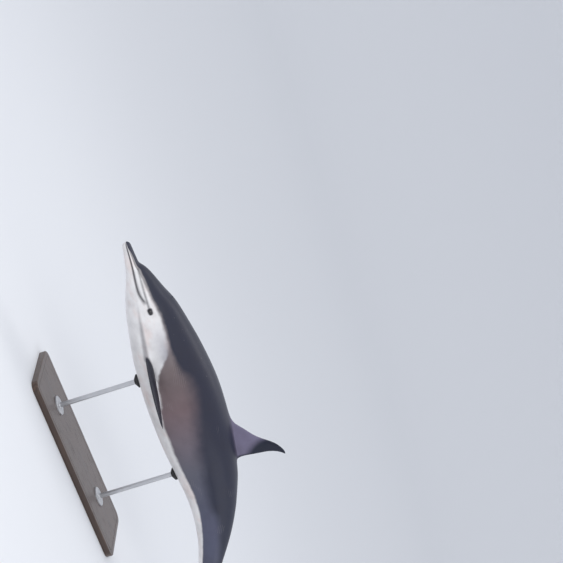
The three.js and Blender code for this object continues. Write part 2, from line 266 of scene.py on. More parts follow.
def hand_of(vert):
    """1 on the animal's left, -1 on its right, 0 on the midline."""
    return 0 if vert[column_of] in (0, BELLY) else math.copysign(1, vert.co.y)


def patch(rings, columns):
    """The faces from the first of the rings to the last, between two columns, on both sides of the body."""
    low, high = RINGS.index(rings[0]), RINGS.index(rings[-1])

    def inside(vert):
        return low <= vert[ring_of] <= high and columns[0] <= vert[column_of] <= columns[1]

    return [face for face in cage.faces if len(face.verts) == 4 and all(inside(v) for v in face.verts)]


# %% Pull a fin out of a patch, row by row
CORNER_SHARE = 0.035  # the patch's corners stay this share of the chord off the fin's edges
THINNEST = 0.6  # a fin's least half thickness, in millimetres


def grow(name, rings, columns, rows, spot):
    """spot(row, chord, side, hand) gives a point; side is 1 on the upper or left face, -1 on the other."""
    faces = patch(rings, columns)
    ends = (RINGS.index(rings[0]), RINGS.index(rings[1]))
    middle = (columns[0] + columns[1]) / 2
    for vert in {v for face in faces for v in face.verts}:
        share = (RINGS[vert[ring_of]] - rings[0]) / (rings[1] - rings[0])
        side = hand_of(vert)
        if name != "dorsal":
            side = (middle - vert[column_of]) * 2 / (columns[1] - columns[0])
        corner = abs(side) > 0.5 and vert[ring_of] in ends
        vert[mark["chord"]] = min(max(share, CORNER_SHARE), 1 - CORNER_SHARE) if corner else share
        vert[mark["face_side"]] = side
    for step, row in enumerate(rows):
        lifted = bmesh.ops.extrude_face_region(cage, geom=faces)["geom"]
        bmesh.ops.delete(cage, geom=faces, context="FACES")
        faces = [item for item in lifted if isinstance(item, bmesh.types.BMFace)]
        for vert in {v for face in faces for v in face.verts}:
            hand = math.copysign(1, vert.co.y)
            vert.co = spot(row, vert[mark["chord"]], vert[mark["face_side"]], hand)
            vert[mark[name]] = (step + 1) / len(rows)
    print(name, "grown in", len(rows), "rows")


def half_thickness(thick, c, side):
    """From the fin's middle sheet to one face, in metres."""
    return side * max(thick * foil(c), THINNEST) * MILLI


# %% The dorsal fin
DORSAL_COLUMNS = (0, 1)
DORSAL_FEET = (47.2, 58.4)
DORSAL = [  # height, leading edge, trailing edge, thickness
    (9, 29, 239, 29), (24, 54, 233, 24), (55, 82, 229, 19), (95, 120, 227, 15.5), (135, 148, 224, 12),
    (172, 168, 224, 9), (204, 190, 231, 6.5), (224, 212, 240, 4.8), (234, 227, 246, 3.8), (238, 238, 248, 3),
]
fin_front, fin_rear = (place(at, back_at(at) * UNIT) for at in DORSAL_FEET)
fin_along = (fin_rear - fin_front).normalized()
fin_up = Vector((fin_along.z, 0, -fin_along.x))


def dorsal_spot(row, c, side, hand):
    up, lead, trail, thick = row
    point = fin_front + (fin_along * (lead + (trail - lead) * c) + fin_up * up) * MILLI
    return point + Vector((0, half_thickness(thick, c, side), 0))


grow("dorsal", DORSAL_RINGS, DORSAL_COLUMNS, DORSAL, dorsal_spot)

# %% The flippers
FLIPPER_COLUMNS = (8, 9)
FLIPPER_AT, FLIPPER_UP, FLIPPER_INSET = 27.4, -2.8, 0.014
FLIPPER = [  # out from the body, leading edge, trailing edge, thickness
    (18, -42, 76, 25), (32, -30, 102, 22), (55, 3, 148, 18), (82, 55, 193, 14.3), (105, 110, 228, 10.6),
    (124, 166, 254, 7), (134, 205, 267, 4.8), (139.5, 230, 275, 3.9), (142, 246, 278, 3),
]
span = Vector((0, 0.97, -0.24)).normalized()  # out and a little down
tailward = Vector((-1, 0, 0))
flipper_chord = (tailward - span * tailward.dot(span)).normalized()
flipper_across = span.cross(flipper_chord)
root_share = math.sqrt(1 - (FLIPPER_UP / belly_at(FLIPPER_AT)) ** 2)
root_side = width_at(FLIPPER_AT) * UNIT / 2 * root_share - FLIPPER_INSET
flipper_root = place(FLIPPER_AT, FLIPPER_UP * UNIT, root_side)


def flipper_spot(row, c, side, hand):
    out, lead, trail, thick = row
    point = flipper_root + (span * out + flipper_chord * (lead + (trail - lead) * c)) * MILLI
    point += flipper_across * half_thickness(thick, c, side)
    return Vector((point.x, point.y * hand, point.z))


grow("flipper", FLIPPER_RINGS, FLIPPER_COLUMNS, FLIPPER, flipper_spot)

# %% The flukes
FLUKES = [  # out from the middle, leading and trailing edge as places along the body, thickness, droop
    (30, 92.75, 99.75, 21, 0), (55, 93.3, 99.75, 18, 1), (90, 94.3, 99.4, 14.5, 3), (130, 95.7, 99.1, 11, 6),
    (170, 97.1, 99.2, 8, 10), (204, 98.5, 99.75, 5.5, 14), (225, 99.6, 100.25, 3.8, 17),
    (232, 100.2, 100.45, 2.8, 18),
]
FLUKE_SET = 97  # the flukes take the slope of the body here
fluke_slope = math.radians(pitch_at(FLUKE_SET))
fluke_across = Vector((math.sin(fluke_slope), 0, math.cos(fluke_slope)))


def fluke_spot(row, c, side, hand):
    out, lead, trail, thick, droop = row
    point = place(lead, -droop * MILLI).lerp(place(trail, -droop * MILLI), c)
    point += fluke_across * half_thickness(thick, c, side)
    return Vector((point.x, hand * out * MILLI, point.z))


grow("fluke", FLUKE_RINGS, (UPPER_LIP, LOWER_LIP), FLUKES, fluke_spot)

# %% [markdown]
# ## Lids, blowhole and slits
# The eye of a dolphin sits low on the side of the head, just behind the corner of the mouth, in a
# slightly raised almond of skin. Insets make rings of faces there, and each ring is moved to the shape of
# the lids, the last one turning in over the eyeball. The blowhole, one crescent on top of the head with
# its ends forward, and the two slits under the tail stock are sunk in the same way.

# %% Lids
EYE_AT, EYE_ANGLE = EYE_RINGS[1], 78
ABOVE_EYE = 4  # the column of the upper lid; the next one is the lower lid's
CORNER_HEIGHT = 0.45  # of the height in the middle
LIDS = [  # half length, half height, rise of the corners, rise of the middle, in millimetres
    (19, 11.5, 0.5, 1.6), (14, 8.2, 1.4, 4.2), (10.8, 5.7, 0.4, 3.5), (9.2, 4.4, -5.0, -4.0),
]
lid_faces = patch(EYE_RINGS, (ABOVE_EYE, ABOVE_EYE + 1))
for half_length, half_height, corner_rise, middle_rise in LIDS:
    bmesh.ops.inset_region(cage, faces=lid_faces, thickness=2 * MILLI, use_even_offset=True)
    for vert in {v for face in lid_faces for v in face.verts}:
        hand = hand_of(vert)
        surface, out = on_skin(EYE_AT, EYE_ANGLE, hand), outward(EYE_AT, EYE_ANGLE, hand)
        ball = sum(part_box("eye_left" if hand > 0 else "eye_right"), Vector()) / 2
        centre = ball + out * (surface - ball).dot(out)
        back = (on_skin(EYE_RINGS[2], EYE_ANGLE, hand) - surface).normalized()
        top = (Vector((0, 0, 1)) - out * out.z).normalized()
        step = vert[ring_of] - RINGS.index(EYE_AT)
        level = 1 if vert[column_of] == ABOVE_EYE else -1
        tall = half_height * (CORNER_HEIGHT if step else 1)
        rise = corner_rise if step else middle_rise
        vert.co = centre + (back * step * half_length + top * level * tall + out * rise) * MILLI
        vert[mark["along"]] = (EYE_AT + step * half_length * MILLI / UNIT) / 100
        vert[mark["height"]] = height_share(EYE_ANGLE) + level * tall * MILLI / (back_at(EYE_AT) * UNIT) / 2
        vert[mark["detail"]] = 1
print("lids round", short_numbers(on_skin(EYE_AT, EYE_ANGLE)))


# %% Sink an opening into the midline of the back or the belly
SIDE_SHARE = 0.6  # the length of a crescent's sides, to that of its middle


def open_midline(rings, columns, rows, bow=0.0):
    """A row is half length, half width, depth at the ends and in the middle; bow moves the sides ahead."""
    faces = patch(rings, columns)
    middle = (rings[0] + rings[-1]) / 2
    for half_length, half_width, end_depth, middle_depth in rows:
        bmesh.ops.inset_region(cage, faces=faces, thickness=MILLI, use_even_offset=True)
        for vert in {v for face in faces for v in face.verts}:
            step = (RINGS[vert[ring_of]] - middle) * 2 / (rings[-1] - rings[0])
            hand = hand_of(vert)
            reach = half_length * (SIDE_SHARE if hand and bow else 1)
            at = middle + (step * reach - bow * abs(hand)) * MILLI / UNIT
            turn = math.degrees(math.asin(half_width * MILLI / (width_at(at) * UNIT / 2)))
            angle = turn * abs(hand) if columns[0] == 0 else HALF_TURN - turn * abs(hand)
            vert.co = on_skin(at, angle, hand, (end_depth if step else middle_depth) * MILLI)
            vert[mark["along"]] = at / 100
            vert[mark["height"]] = height_share(angle)
            vert[mark["detail"]] = 1
    print("opening", round(rows[0][0] * 2), "by", round(rows[0][1] * 2), "mm at", middle)


BLOWHOLE = [(11, 14, 0, 0), (5.5, 12, -0.8, -0.6), (1.8, 10.6, 2, 3), (0.8, 9.4, 6, 8)]
BLOWHOLE_BOW = 4
SLIT_HALF_LENGTHS, SLIT_RIM = (42, 15), 4
open_midline(EYE_RINGS, (0, 1), BLOWHOLE, BLOWHOLE_BOW)
for slit, half_length in zip(SLIT_RINGS, SLIT_HALF_LENGTHS):
    around, lips_of_slit = (half_length + SLIT_RIM, 6, 0, 0), (half_length, 2, -0.5, 0)
    inside_slit = (half_length - SLIT_RIM, 0.7, 5, 5)
    open_midline(slit, (BELLY - 1, BELLY), [around, lips_of_slit, inside_slit])

# %% [markdown]
# ## Holding the shape
# A subdivision surface runs inside its cage, so a cage laid on the solids would give a thinner animal.
# Where the rounded surface ends up over each corner can be worked out from the corner's neighbours, so
# each corner is pushed out by what is missing, a few times over. The small folds and the feet of the fins
# are left as drawn, where rounding is what they need.


# %% Push the cage out until the rounded skin meets the wanted shape
ROUNDS, PUSH = 5, 0.85


def smoothed(vert):
    """Where the subdivision surface comes to over a corner that only quads meet."""
    n = len(vert.link_edges)
    near = [edge.other_vert(vert) for edge in vert.link_edges]
    far = [v for face in vert.link_faces for v in face.verts if v != vert and v not in near]
    beside = sum((v.co for v in near), Vector())
    across = sum((v.co for v in far), Vector())
    return (vert.co * n * n + beside * 4 + across) / (n * (n + 5))


def on_fin(vert):
    return vert[mark["dorsal"]] + vert[mark["flipper"]] + vert[mark["fluke"]] > 0


def at_root(vert):
    """The body's own corners round a fin's foot."""
    return not on_fin(vert) and any(on_fin(edge.other_vert(vert)) for edge in vert.link_edges)


wanted = {vert: vert.co.copy() for vert in cage.verts}
smooth = [vert for vert in cage.verts if vert[mark["detail"]] < 0.5 and not at_root(vert)]
plain = [vert for vert in smooth if all(len(face.verts) == 4 for face in vert.link_faces)]
for _ in range(ROUNDS):
    short = [(vert, wanted[vert] - smoothed(vert)) for vert in plain]
    for vert, gap in short:
        vert.co += gap * PUSH
print("left over", round(max(gap.length for _, gap in short) / MILLI, 2), "mm")


# %% Make the skin piece
def piece_from(bm, name, slot, *nodes):
    """A finished piece: its place is in its mesh, it rides on the body, and it may stand for some nodes."""
    mesh = bpy.data.meshes.new(name)
    bm.to_mesh(mesh)
    bm.free()
    mesh.shade_smooth()
    piece = bpy.data.objects.new(name, mesh)
    bpy.context.scene.collection.objects.link(piece)
    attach(piece, "root")
    if nodes:
        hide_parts(*nodes)
    return piece


FLESH = [
    "upper_beak", "lower_jaw", "head", "chest", "trunk", "tail_stock", "dorsal_fin",
    "flipper_left", "flipper_right", "fluke_left", "fluke_right",
]
for layer in (ring_of, column_of):
    cage.verts.layers.int.remove(layer)
for name in ("face_side", "detail"):
    cage.verts.layers.float.remove(cage.verts.layers.float[name])
skin = piece_from(cage, "dolphin_skin", "skin", *FLESH)
rounding = skin.modifiers.new("rounding", "SUBSURF")
rounding.levels = rounding.render_levels = 3
rounded_faces = sum(len(face.vertices) * 4 ** (rounding.levels - 1) for face in skin.data.polygons)
print("skin faces", len(skin.data.polygons), "and once rounded", rounded_faces, "quads")

# %% [markdown]
# ## Eyeballs
# A dolphin's eye is a dark, wet ball with a cornea that bulges a little and a wide oval pupil. A sphere
# whose pole looks outward gives rings that run round the gaze, so the bulge is only a push along the
# pole. Two marks keep each point's place across the eye for its paint.

# %% Eyeballs, each with its pole along the gaze
EYE_RADIUS, CORNEA, CORNEA_BULGE = 0.014, 0.72, 0.0007
for name, hand in (("eye_left", 1), ("eye_right", -1)):
    ball = bmesh.new()
    gaze = [ball.verts.layers.float.new(axis_name) for axis_name in ("gaze_across", "gaze_up")]
    bmesh.ops.create_uvsphere(ball, u_segments=48, v_segments=32, radius=EYE_RADIUS)
    for vert in ball.verts:
        ahead = vert.co / EYE_RADIUS
        vert[gaze[0]], vert[gaze[1]] = ahead.x, ahead.y
        rise = max(ahead.z - CORNEA, 0) / (1 - CORNEA)
        vert.co.z += CORNEA_BULGE * rise * (2 - rise)
    out = outward(EYE_AT, EYE_ANGLE, hand)
    across = Vector((0, 0, 1)).cross(out).normalized()
    turn = Matrix((across, out.cross(across), out)).transposed().to_4x4()
    centre = sum(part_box(name), Vector()) / 2
    bmesh.ops.transform(ball, matrix=Matrix.Translation(centre) @ turn, verts=ball.verts)
    piece_from(ball, f"eyeball_{name[4:]}", "eye", name)
    print(name, "centre", short_numbers(centre, 4))

# %% [markdown]
# ## The stand
# The stand is furniture: a stained oak board with eased edges and a thin routed line, two brushed steel
# rods in screwed flanges, and soft rubber saddles under the belly. The board is a cube whose upright
# corners and then whose rims are bevelled, and everything round is a profile spun about its own rod.

# %% Board
CORNER, EASE, FOOT_EASE = 0.045, 0.004, 0.0015
GROOVE_IN, GROOVE_SIDE, GROOVE_FLOOR, GROOVE_DEPTH = 0.02, 0.0012, 0.0016, 0.0014
low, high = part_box("stand_base")
board = bmesh.new()
bmesh.ops.create_cube(board, size=1)
bmesh.ops.scale(board, vec=high - low, verts=board.verts)
bmesh.ops.translate(board, vec=(low + high) / 2, verts=board.verts)


def edges_between(bm, bottom, top):
    """The edges with both ends between two levels."""
    return [edge for edge in bm.edges if all(bottom - WELD < v.co.z < top + WELD for v in edge.verts)]


def bevel(bm, edges, offset, segments):
    bmesh.ops.bevel(
        bm, geom=edges, offset=offset, affect="EDGES", segments=segments, profile=0.5, material=-1,
    )


def top_face(bm):
    return [max(bm.faces, key=lambda face: face.calc_center_median().z)]


upright = [edge for edge in board.edges if abs(edge.verts[0].co.z - edge.verts[1].co.z) > WELD]
bevel(board, upright, CORNER, 12)
bevel(board, edges_between(board, high.z, high.z), EASE, 4)
bevel(board, edges_between(board, low.z, low.z), FOOT_EASE, 2)
board_top = top_face(board)
groove = ((GROOVE_IN, 0), (GROOVE_SIDE, -GROOVE_DEPTH), (GROOVE_FLOOR, 0), (GROOVE_SIDE, GROOVE_DEPTH))
for inset, sink in groove:
    bmesh.ops.inset_region(board, faces=board_top, thickness=inset, depth=sink, use_even_offset=True)
stand_board = piece_from(board, "stand_board", "stand_board", "stand_base")
print("board", short_numbers(high - low))


# %% Spin a profile about an upright line
UP = (0, 0, 1)


def spun(profile, x, steps=48):
    """A closed turned shape from (radius, height) pairs, standing at x on the midline."""
    turned = bmesh.new()
    line = [turned.verts.new((radius, 0, level)) for radius, level in profile]
    edges = [turned.edges.new(pair) for pair in zip(line, line[1:])]
    bmesh.ops.spin(
        turned, geom=line + edges, cent=(0, 0, 0), axis=UP, angle=math.tau, steps=steps, use_merge=True,
    )
    bmesh.ops.remove_doubles(turned, verts=turned.verts, dist=WELD / 10)
    bmesh.ops.recalc_face_normals(turned, faces=turned.faces)
    bmesh.ops.translate(turned, vec=(x, 0, 0), verts=turned.verts)
    return turned


def arc(centre, radius, start, end, count=5):
    """Profile points on an arc; angles in degrees from straight out, counted upward."""
    turns = [math.radians(start + (end - start) * i / count) for i in range(count + 1)]
    return [(centre[0] + radius * math.cos(t), centre[1] + radius * math.sin(t)) for t in turns]


# %% Rods, flanges and their screws
ROD_RADIUS, ROD_CHAMFER, ROD_CLEARANCE = 0.012, 0.001, 0.0003
PLATE_HEIGHT, COLLAR_RADIUS, COLLAR_FILLET, EDGE_ROUND = 0.007, 0.019, 0.004, 0.002
SCREW_RING, SCREW_RADIUS, SCREW_FLAT, SCREW_RISE = 0.035, 0.0055, 0.0042, 0.0024
SOCKET_RADIUS, SOCKET_TAPER, SOCKET_DEPTH = 0.0026, 0.0002, 0.0016
stand_metal = []
rod_at = {}
for end in ("front", "rear"):
    low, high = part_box(f"stand_rod_{end}")
    x = rod_at[end] = (low.x + high.x) / 2
    inner = ROD_RADIUS - ROD_CHAMFER
    rod = [(0, low.z), (inner, low.z), (ROD_RADIUS, low.z + ROD_CHAMFER), (ROD_RADIUS, high.z - ROD_CHAMFER)]
    rod += [(inner, high.z), (0, high.z)]
    stand_metal.append(piece_from(spun(rod, x), f"stand_post_{end}", "stand_metal", f"stand_rod_{end}"))
    low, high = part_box(f"stand_flange_{end}")
    radius, bore, plate = (high.x - low.x) / 2, ROD_RADIUS + ROD_CLEARANCE, low.z + PLATE_HEIGHT
    ring = [(bore, low.z), (radius, low.z)]
    ring += arc((radius - EDGE_ROUND, plate - EDGE_ROUND), EDGE_ROUND, 0, 90)
    ring += arc((COLLAR_RADIUS + COLLAR_FILLET, plate + COLLAR_FILLET), COLLAR_FILLET, 270, 180)[:-1]
    ring += arc((COLLAR_RADIUS - EDGE_ROUND / 2, high.z - EDGE_ROUND / 2), EDGE_ROUND / 2, 0, 90, 3)
    ring += [(bore, high.z), (bore, low.z)]
    foot = piece_from(spun(ring, x, 64), f"stand_foot_{end}", "stand_metal", f"stand_flange_{end}")
    stand_metal.append(foot)
    screws = bmesh.new()
    bmesh.ops.create_cone(
        screws, cap_ends=True, segments=24, radius1=SCREW_RADIUS, radius2=SCREW_FLAT, depth=SCREW_RISE,
    )
    cap = top_face(screws)
    bmesh.ops.inset_region(screws, faces=cap, thickness=SCREW_FLAT - SOCKET_RADIUS)
    bmesh.ops.inset_region(screws, faces=cap, thickness=SOCKET_TAPER, depth=-SOCKET_DEPTH)
    bmesh.ops.translate(screws, vec=(x + SCREW_RING, 0, plate + SCREW_RISE / 2), verts=screws.verts)
    eighth = Matrix.Rotation(math.radians(45), 3, "Z")
    bmesh.ops.rotate(screws, cent=(x, 0, 0), matrix=eighth, verts=screws.verts)
    one_screw = screws.verts[:] + screws.edges[:] + screws.faces[:]
    bmesh.ops.spin(
        screws, geom=one_screw, cent=(x, 0, 0), axis=UP, angle=math.radians(270), steps=3, use_duplicate=True,
    )
    stand_metal.append(piece_from(screws, f"stand_screws_{end}", "stand_metal"))
    print("rod", end, "at", round(x, 3), "rises to", round(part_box(f"stand_rod_{end}")[1].z, 3))

# %% [markdown]
# ## Saddles
# A saddle carries the belly on soft rubber, so its top has to follow the belly exactly. It is spun with a
# dense flat top, and then each point of the top is lifted until it all but meets the skin, found by
# looking straight up.

# %% Saddles that fit the belly
SADDLE_NECK, SADDLE_NECK_CHAMFER, SADDLE_RADIUS, SADDLE_RIM, CLEARANCE = 0.017, 0.001, 0.034, 0.002, 0.0003
SADDLE_FLARE = 0.012  # from the foot to the widest level
FLARE_EDGE = [(0.003, -0.0012), (0.0008, 0)]  # how far in from the radius and up from the widest level
TOP_RINGS = 8
bpy.context.view_layer.update()
belly = skin.evaluated_get(bpy.context.evaluated_depsgraph_get())
stand_pads = []
for end, x in rod_at.items():
    low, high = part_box(f"stand_saddle_{end}")
    foot, flare = low.z, low.z + SADDLE_FLARE
    shape = [(0, foot), (SADDLE_NECK - SADDLE_NECK_CHAMFER, foot), (SADDLE_NECK, foot + SADDLE_NECK_CHAMFER)]
    shape += [(SADDLE_RADIUS - inward, flare + rise) for inward, rise in FLARE_EDGE]
    top_radius = SADDLE_RADIUS - SADDLE_RIM
    shape += [(top_radius * (1 - i / TOP_RINGS), high.z) for i in range(TOP_RINGS + 1)]
    pad = spun(shape, x, 64)
    for vert in pad.verts:
        if vert.co.z > high.z - WELD:
            _, spot, _, _ = belly.ray_cast(Vector((vert.co.x, vert.co.y, foot)), Vector(UP))
            vert.co.z = spot.z - CLEARANCE
    stand_pads.append(piece_from(pad, f"stand_saddle_pad_{end}", "stand_pad", f"stand_saddle_{end}"))
    print("saddle", end, "from", round(foot, 4), "to", round(high.z, 4))
SHARP_ANGLE = 35  # corners stay crisp, curves stay smooth
for piece in [stand_board, *stand_metal, *stand_pads]:
    piece.data.set_sharp_from_angle(angle=math.radians(SHARP_ANGLE))

# %% [markdown]
# ## Paint kit
# Every finish below is a small program of shader nodes. Written node by node it is long and hard to read,
# so a class wraps a socket and lets it take part in Python sums: each operator adds a Math node. One
# method makes any other node from its type, its settings and what its sockets take.


# %% Shader sums as Python sums
class Value:
    """A socket of a material that can be added, multiplied and compared."""

    def __init__(self, paint, socket):
        self.paint, self.socket = paint, socket

    def math(self, operation, first, second=0.0):
        return self.paint.node("ShaderNodeMath", {"operation": operation}, {0: first, 1: second})

    def __add__(self, other):
        return self.math("ADD", self, other)

    def __radd__(self, other):
        return self.math("ADD", other, self)

    def __sub__(self, other):
        return self.math("SUBTRACT", self, other)

    def __mul__(self, other):
        return self.math("MULTIPLY", self, other)

    def __truediv__(self, other):
        return self.math("DIVIDE", self, other)

    def __pow__(self, other):
        return self.math("POWER", self, other)

    def __abs__(self):
        return self.math("ABSOLUTE", self)

    def most(self, other):
        return self.math("MAXIMUM", self, other)

    def fade(self, start, end):
        """0 at start and 1 at end, smoothly; start may be the larger."""
        limits = {"Value": self, "From Min": start, "From Max": end}
        return self.paint.node("ShaderNodeMapRange", {"interpolation_type": "SMOOTHSTEP"}, limits)

    def through(self, points):
        """The height of a drawn curve over this value, both from 0 to 1."""
        return self.paint.node("ShaderNodeFloatCurve", {"points": points}, {"Value": self})


# %% A material and its nodes
NOISE_ROUGHNESS = 0.55


class Paint:
    """A material whose constant finish is set on the shader's own sockets."""

    def __init__(self, name, **finish):
        self.material = bpy.data.materials.new(name)
        self.material.use_nodes = True
        self.shader = self.material.node_tree.nodes["Principled BSDF"]
        for socket, value in finish.items():
            self.shader.inputs[socket.replace("_", " ")].default_value = value

    def node(self, kind, settings=None, sockets=None, output=0):
        """Any node: its settings first, then what its sockets take; one of its outputs comes back."""
        made = self.material.node_tree.nodes.new(kind)
        for name, value in (settings or {}).items():
            if name == "points":
                line = made.mapping.curves[0].points
                for spare in value[2:]:
                    line.new(*spare)
                for point, spot in zip(line, value):
                    point.location, point.handle_type = spot, "AUTO_CLAMPED"
                made.mapping.update()
            elif name == "stops":
                for spare in value[2:]:
                    made.color_ramp.elements.new(spare[0])
                for stop, (position, colour) in zip(made.color_ramp.elements, value):
                    stop.position, stop.color = position, colour
            else:
                setattr(made, name, value)
        for name, value in (sockets or {}).items():
            if isinstance(value, Value):
                self.material.node_tree.links.new(value.socket, made.inputs[name])
            else:
                made.inputs[name].default_value = value
        return Value(self, made.outputs[output])

    def mark(self, name):
        """A number kept on the mesh's points."""
        return self.node("ShaderNodeAttribute", {"attribute_name": name}, output="Fac")

    def spot(self, stretch=(1, 1, 1), turn=(0, 0, 0)):
        """The place on the piece, in metres, stretched and turned for a pattern."""
        place_here = self.node("ShaderNodeTexCoord", output="Object")
        return self.node("ShaderNodeMapping", {}, {"Vector": place_here, "Scale": stretch, "Rotation": turn})

    def noise(self, scale, detail=3.0, at=None):
        sockets = {"Vector": at or self.spot(), "Scale": scale, "Detail": detail}
        sockets["Roughness"] = NOISE_ROUGHNESS
        return self.node("ShaderNodeTexNoise", {}, sockets)

    def mix(self, share, under, over):
        """under where share is 0, over where it is 1."""
        return self.node("ShaderNodeMix", {"data_type": "RGBA"}, {0: share, 6: under, 7: over}, output=2)

    def give(self, socket, value):
        self.material.node_tree.links.new(value.socket, self.shader.inputs[socket])

    def relief(self, height, depth):
        """Fine relief of so many metres, as a bump on the normal."""
        bump = self.node("ShaderNodeBump", {}, {"Height": height, "Distance": depth}, output="Normal")
        self.give("Normal", bump)


def linear(value):
    """Light from a display value of 0 to 255, by the usual curve of screens."""
    return ((value / 255 + 0.055) / 1.055) ** 2.4 if value > 10 else value / 3295


def colour(red, green, blue):
    """An opaque colour from display values."""
    return (linear(red), linear(green), linear(blue), 1.0)


# %% [markdown]
# ## Skin paint
# The common dolphin wears an hourglass: a dark cape over the back whose edge dips under the fin, a warm
# tan patch on the flank ahead of the dip, a blue-grey one behind it, and a white belly, throat and cheek
# that dulls before it meets the flank. Each edge is a drawn curve over the place along the body, compared
# with the height round the body, both kept on the mesh, so the pattern stays sharp and follows every
# bend. A little noise keeps the edges from looking cut with a knife.

# %% Where the coat's edges run
CAPE_EDGE = [  # place along the body, height round it (0 belly, 1 back)
    (0, 0.6), (0.012, 0.64), (0.03, 0.82), (0.05, 0.85), (0.08, 0.8), (0.12, 0.76), (0.17, 0.75),
    (0.22, 0.71), (0.27, 0.66), (0.3, 0.66), (0.34, 0.71), (0.39, 0.69), (0.44, 0.63), (0.5, 0.56),
    (0.56, 0.52), (0.62, 0.47), (0.66, 0.48), (0.7, 0.6), (0.76, 0.7), (0.83, 0.84), (0.9, 0.93), (1, 0.97),
]
WHITE_EDGE = [
    (0, 0.6), (0.02, 0.66), (0.06, 0.72), (0.1, 0.72), (0.16, 0.72), (0.21, 0.69), (0.25, 0.63),
    (0.28, 0.5), (0.31, 0.36), (0.36, 0.27), (0.5, 0.19), (0.64, 0.22), (0.78, 0.2), (0.9, 0.14), (1, 0.05),
]
FLANK = [  # place along the body, colour
    (0.1, colour(150, 146, 146)), (0.22, colour(136, 128, 130)), (0.3, colour(112, 100, 100)),
    (0.4, colour(112, 94, 97)), (0.48, colour(108, 98, 106)), (0.57, colour(90, 90, 102)),
    (0.67, colour(78, 80, 98)), (0.74, colour(80, 82, 103)), (0.88, colour(74, 77, 95)),
    (0.98, colour(58, 60, 72)),
]
CAPE = [
    (0.0, colour(52, 54, 68)), (0.1, colour(36, 39, 55)), (0.3, colour(38, 39, 55)),
    (0.5, colour(36, 38, 56)), (0.75, colour(34, 38, 56)), (1, colour(32, 35, 50)),
]
WHITE, DULL_WHITE, BLUSH = colour(233, 231, 230), colour(142, 140, 150), colour(222, 204, 198)
INK, LIP, JAW_GREY = colour(32, 32, 40), colour(60, 58, 64), colour(112, 108, 114)
FIN_DARK, FIN_PALE, FIN_FOOT_TONE_AND_FILL = colour(20, 26, 44), colour(113, 107, 130), colour(104, 98, 118)
FLIPPER_DARK, FLUKE_DARK = colour(36, 37, 48), colour(46, 47, 58)
SCAR, SPOT, STAIN = colour(176, 168, 168), colour(150, 144, 146), colour(44, 40, 46)

# %% Base, flank and cape
coat = Paint("wet_skin", Coat_Roughness=0.22, Coat_IOR=1.33, IOR=1.38, Coat_Weight=0.22)
along, height = coat.mark("along"), coat.mark("height")
drift = (coat.noise(6) - 0.5) * 0.09 + (coat.noise(30) - 0.5) * 0.03
level = height + drift
white = (level - along.through(WHITE_EDGE)).fade(0.03, -0.03)
softness = along.fade(0.24, 0.38) * 0.1 + 0.03  # the cape's edge is sharp over the cheek, soft on the flank
cape = ((level - along.through(CAPE_EDGE)) / softness).fade(-1, 1)
flank = coat.node("ShaderNodeValToRGB", {"stops": FLANK}, {"Fac": along})
back = coat.node("ShaderNodeValToRGB", {"stops": CAPE}, {"Fac": along})
blush = coat.noise(9, at=coat.spot((1, 1, 2))).fade(0.45, 0.75) * 0.6
dull = along.fade(0.17, 0.28) * level.fade(0.38, 0.62) * 0.8
pale = coat.mix(dull, coat.mix(blush, WHITE, BLUSH), DULL_WHITE)
base = coat.mix(white, flank, pale)
base = coat.mix(cape, base, back)
print("coat edges drawn through", len(CAPE_EDGE), "and", len(WHITE_EDGE), "points")

# %% [markdown]
# ## Face and flipper stripes
# A dark patch rings the eye and runs forward as a thin, faint bridle to the foot of the forehead, the
# lips are dark, and a soft grey stripe runs from the jaw to the flipper. A stripe is a line between two
# places of the skin, seen from the side: how far along and how far off it a point lies gives its mask.


# %% A stripe between two places of the skin, seen from the side
def stripe(paint, start, end, width_start, width_end, softness):
    """start and end are (place, angle) on the skin; widths are half widths in metres."""
    foot, tip = on_skin(*start), on_skin(*end)
    run = Vector((tip.x - foot.x, 0, tip.z - foot.z))
    way = run.normalized()
    from_foot = paint.node("ShaderNodeVectorMath", {"operation": "SUBTRACT"}, {0: paint.spot(), 1: foot})
    dot = {"operation": "DOT_PRODUCT"}
    ahead = paint.node("ShaderNodeVectorMath", dot, {0: from_foot, 1: way}, "Value")
    off = paint.node("ShaderNodeVectorMath", dot, {0: from_foot, 1: (-way.z, 0, way.x)}, "Value")
    share = ahead / run.length
    half_width = share * (width_end - width_start) + width_start
    beyond = (share - 1).most(share * -1).most(0) * run.length
    return ((off**2 + beyond**2) ** 0.5 - half_width).fade(softness / 2, -softness / 2)


MELON_FOOT, EYE_FRONT, EYE_BACK = (6.3, 58), (15.4, 77.4), (15.95, 77.6)
JAW, FLIPPER_FRONT = (10.5, 101), (26, 117)
ragged = (coat.noise(60) - 0.5) * 0.5
eye_patch = stripe(coat, EYE_FRONT, EYE_BACK, 0.0122, 0.0112, 0.009)
bridle = stripe(coat, MELON_FOOT, (EYE_AT, EYE_ANGLE), 0.0025, 0.0055, 0.011) * (0.65 + ragged)
jaw_line = stripe(coat, JAW, FLIPPER_FRONT, 0.001, 0.013, 0.016) * (0.62 + ragged * 0.4)
jaw_line = jaw_line * along.fade(0.11, 0.2)
lips = abs(coat.mark("lip")).fade(0.75, 0.4) * along.fade(0.142, 0.128) * along.fade(-0.0003, 0.0008)
off_midline = abs(coat.node("ShaderNodeSeparateXYZ", {}, {"Vector": coat.spot()}, "Y")).fade(0.004, 0.012)
face = eye_patch.most(bridle) * off_midline
base = coat.mix(jaw_line * white * off_midline, base, JAW_GREY)
base = coat.mix(lips * 0.8, base, LIP)
base = coat.mix(face, base, INK)

# %% [markdown]
# ## Fins, and what life leaves on a skin
# The flippers and flukes are dark all over. The dorsal fin is dark along its rear edge and tip, with a
# lilac-grey panel over its front foot. Fine pale scratches from other dolphins' teeth run in short sets
# over the flanks, and small round spots and cloudy blotches break up the plain areas.

